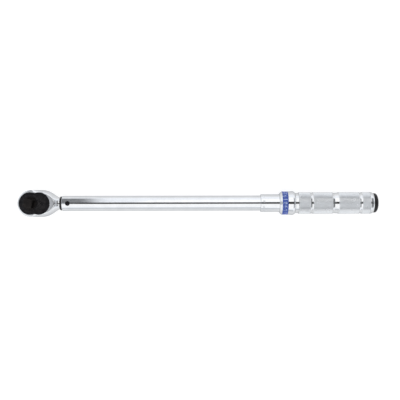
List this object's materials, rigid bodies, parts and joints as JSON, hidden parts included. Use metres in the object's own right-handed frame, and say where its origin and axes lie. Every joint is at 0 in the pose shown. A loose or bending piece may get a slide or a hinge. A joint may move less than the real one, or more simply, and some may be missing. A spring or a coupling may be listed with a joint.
{
  "type": "click torque wrench",
  "caption": "Click torque wrench with a square-drive reversible ratchet head, chromed tube, knurled setting handle and sprung lock ring.",
  "frame": {"origin": "centre of the bounding box's base: the wrench lies on its reversing lever and lock ring", "axes": "+X along the wrench from the ratchet head to the end cap, +Z out of the square drive, +Y across the head"},
  "size_m": [0.53, 0.0398, 0.0457],
  "materials": {
    "polished_chrome": "bright polished chrome plate",
    "satin_steel": "satin plated steel with fine diamond knurling",
    "bright_steel": "ground bright steel",
    "black_steel": "black oxide on steel",
    "black_plastic": "semi-matt moulded plastic",
    "black_rubber": "moulded rubber",
    "blue_enamel": "blue enamel with light fine-scale figures"
  },
  "bodies": {
    "barrel": {"barrel_tube": "polished_chrome", "dust_seal": "black_rubber", "pivot_pin": "black_steel", "scale_sleeve": "polished_chrome", "adjusting_nut": "bright_steel", "upper_nut_pin": "black_steel", "lower_nut_pin": "black_steel", "main_spring": "bright_steel"},
    "head": {"ratchet_head": "polished_chrome", "cover_plate": "black_steel", "cover_screw_left": "black_steel", "cover_screw_right": "black_steel", "drive_clip": "bright_steel"},
    "drive": {"drive_gear": "black_steel", "detent_spring": "bright_steel"},
    "detent": {"detent_ball": "bright_steel"},
    "lever": {"reverse_lever": "black_steel", "lever_spring": "bright_steel"},
    "lever_detent": {"lever_ball": "bright_steel"},
    "pawl": {"pawl": "black_steel"},
    "trip_block": {"trip_block": "bright_steel"},
    "piston": {"spring_piston": "bright_steel"},
    "load_carriage": {"spring_seat": "bright_steel", "thrust_ball": "bright_steel"},
    "handle": {"grip": "satin_steel", "adjusting_screw": "bright_steel", "handle_nut": "bright_steel", "end_cap": "black_plastic", "lock_spring": "bright_steel"},
    "lock_ring": {"lock_ring": "polished_chrome", "index_band": "blue_enamel"},
    "lock_ball_left": {"lock_ball_left": "bright_steel"},
    "lock_ball_right": {"lock_ball_right": "bright_steel"}
  },
  "joints": [
    {"name": "head_pivot", "type": "hinge", "parent": "barrel", "child": "head", "pos_m": [-0.1919, 0, 0.0177], "axis": [0, 0, -1], "range_deg": [0, 2.6], "stiffness_Nm_per_rad": 150, "springref_deg": -11.46},
    {"name": "piston_slide", "type": "slide", "parent": "barrel", "child": "piston", "axis": [1, 0, 0], "range_m": [0, 0.0006]},
    {"name": "trip_tilt", "type": "hinge", "parent": "barrel", "child": "trip_block", "pos_m": [-0.1368, 0, 0.0177], "axis": [0, 0, 1], "range_deg": [0, 13]},
    {"name": "drive_spin", "type": "hinge", "parent": "head", "child": "drive", "pos_m": [-0.2465, 0, 0.0177], "axis": [0, 0, -1], "continuous": true},
    {"name": "detent_press", "type": "slide", "parent": "drive", "child": "detent", "axis": [-0.2079, -0.9781, 0], "range_m": [0, 0.0009], "stiffness_N_per_m": 900, "springref_m": -0.002, "deforming": ["detent_spring"]},
    {"name": "reverse_lever_turn", "type": "hinge", "parent": "head", "child": "lever", "pos_m": [-0.2287, 0, 0.0177], "axis": [0, 0, 1], "range_deg": [0, 44]},
    {"name": "pawl_rock", "type": "hinge", "parent": "head", "child": "pawl", "pos_m": [-0.2287, 0, 0.0177], "axis": [0, 0, -1], "range_deg": [0, 10.8]},
    {"name": "lever_detent_press", "type": "slide", "parent": "lever", "child": "lever_detent", "axis": [-0.9272, 0.3746, 0], "range_m": [0, 0.0004], "stiffness_N_per_m": 600, "springref_m": -0.001, "deforming": ["lever_spring"]},
    {"name": "setting_travel", "type": "slide", "parent": "barrel", "child": "load_carriage", "axis": [-1, 0, 0], "range_m": [0, 0.02], "deforming": ["main_spring"]},
    {"name": "handle_turn", "type": "hinge", "parent": "load_carriage", "child": "handle", "pos_m": [0.15, 0, 0.0177], "axis": [-1, 0, 0], "range_deg": [0, 2880]},
    {"name": "lock_ring_pull", "type": "slide", "parent": "handle", "child": "lock_ring", "axis": [1, 0, 0], "range_m": [0, 0.0045], "stiffness_N_per_m": 900, "springref_m": -0.003, "deforming": ["lock_spring"]},
    {"name": "left_ball_release", "type": "slide", "parent": "handle", "child": "lock_ball_left", "axis": [0, 1, 0], "range_m": [0, 0.00035]},
    {"name": "right_ball_release", "type": "slide", "parent": "handle", "child": "lock_ball_right", "axis": [0, -1, 0], "range_m": [0, 0.00035]}
  ],
  "couplings": [
    {"joint": "piston_slide", "follows": "head_pivot", "m_per_rad": 0.012781},
    {"joint": "trip_tilt", "follows": "head_pivot", "ratio": 4.95},
    {"joint": "pawl_rock", "follows": "reverse_lever_turn", "ratio": 0.245},
    {"joint": "setting_travel", "follows": "handle_turn", "m_per_rad": 0.00039789},
    {"joint": "left_ball_release", "follows": "lock_ring_pull", "ratio": 0.075},
    {"joint": "right_ball_release", "follows": "lock_ring_pull", "ratio": 0.075}
  ]
}
